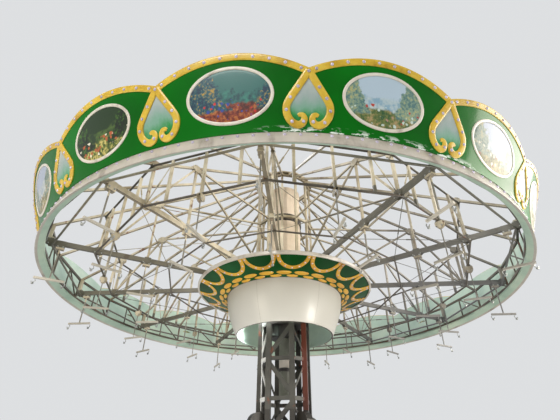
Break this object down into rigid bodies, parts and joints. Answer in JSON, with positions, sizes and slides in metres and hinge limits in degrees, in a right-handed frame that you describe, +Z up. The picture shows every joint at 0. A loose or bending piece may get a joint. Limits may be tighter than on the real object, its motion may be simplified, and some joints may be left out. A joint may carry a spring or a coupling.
{
  "type": "chair swing ride",
  "caption": "Chair swing ride with a scalloped green and gold crown on a lattice rotor, an inner cone with a cream drum, bare hanger bars and a lattice mast.",
  "frame": {"origin": "ground level on the mast axis, midway between the four foot plates", "axes": "+Z up along the mast, +X along arm_01 at rest"},
  "size_m": [10.8784, 10.8784, 8.1654],
  "materials": {
    "crown_paint": "glossy painted fibreglass, faded and peeling in places",
    "cream_paint": "glossy cream fibreglass",
    "arm_paint": "worn cream paint on steel",
    "frame_paint": "weathered dark paint on steel",
    "mast_paint": "grey-brown paint on steel with rust"
  },
  "bodies": {
    "mast": {"mast_upper": "mast_paint", "mast_lower": "mast_paint", "turning_gear": "mast_paint", "cable_tube": "mast_paint", "mast_cap": "mast_paint", "centre_column": "mast_paint", "base_frame": "mast_paint", "foot_1": "mast_paint", "foot_2": "mast_paint", "foot_3": "mast_paint", "foot_4": "mast_paint"},
    "rotor": {"arm_01": "arm_paint", "arm_02": "arm_paint", "arm_03": "arm_paint", "arm_04": "arm_paint", "arm_05": "arm_paint", "arm_06": "arm_paint", "arm_07": "arm_paint", "arm_08": "arm_paint", "arm_09": "arm_paint", "arm_10": "arm_paint", "arm_11": "arm_paint", "arm_12": "arm_paint", "crown_panel_01": "crown_paint", "crown_panel_02": "crown_paint", "crown_panel_03": "crown_paint", "crown_panel_04": "crown_paint", "crown_panel_05": "crown_paint", "crown_panel_06": "crown_paint", "crown_panel_07": "crown_paint", "crown_panel_08": "crown_paint", "crown_panel_09": "crown_paint", "crown_panel_10": "crown_paint", "crown_panel_11": "crown_paint", "crown_panel_12": "crown_paint", "crown_panel_13": "crown_paint", "crown_panel_14": "crown_paint", "crown_panel_15": "crown_paint", "crown_panel_16": "crown_paint", "rim_band": "cream_paint", "rim_truss": "frame_paint", "ring_truss": "frame_paint", "roof_frame": "arm_paint", "inner_ring": "frame_paint", "outer_ring": "frame_paint", "hub_cage": "arm_paint", "cone_spider": "frame_paint", "cone_canopy": "crown_paint", "cone_rim": "cream_paint", "drum": "cream_paint"}
  },
  "joints": [
    {"name": "rotor_spin", "type": "hinge", "parent": "mast", "child": "rotor", "pos_m": [0, 0, 5.02], "axis": [0, 0, 1], "continuous": true}
  ]
}
